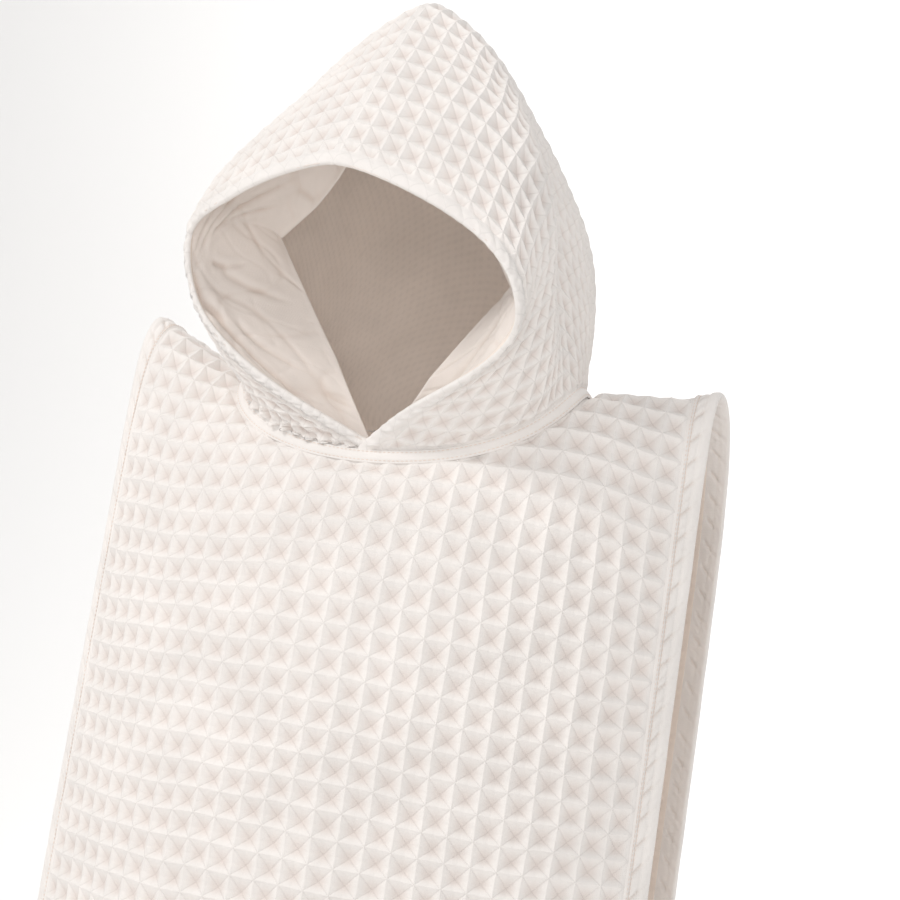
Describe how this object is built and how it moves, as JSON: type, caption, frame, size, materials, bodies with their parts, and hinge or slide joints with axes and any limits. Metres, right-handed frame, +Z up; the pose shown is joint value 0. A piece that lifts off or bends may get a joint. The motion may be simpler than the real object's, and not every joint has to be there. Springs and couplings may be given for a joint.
{
  "type": "hooded bath poncho",
  "caption": "Off-white waffle-weave hooded bath poncho for a small child, open down both sides, held in its worn hollow shape with no wearer.",
  "frame": {"origin": "middle of the neck at shoulder height, where the wearer holds the cloth up", "axes": "+Z up along the wearer's body, -Y the wearer's front, +X the wearer's left"},
  "size_m": [0.431, 0.2745, 0.8014],
  "materials": {
    "waffle_cotton": "matt honeycomb-woven cotton, deep square cells",
    "turned_hem": "the same cotton turned, flattened and top-stitched twice",
    "plain_facing": "plain soft cotton, matt",
    "neck_tape": "flat cotton tape, top-stitched along both edges"
  },
  "bodies": {
    "root": {"back": "waffle_cotton", "bottom_hem_back": "turned_hem", "bottom_hem_front": "turned_hem", "facing_left": "plain_facing", "facing_right": "plain_facing", "front": "waffle_cotton", "hood_left": "waffle_cotton", "hood_right": "waffle_cotton", "neck_tape_left": "neck_tape", "neck_tape_right": "neck_tape", "side_hem_left": "turned_hem", "side_hem_right": "turned_hem"}
  },
  "joints": []
}
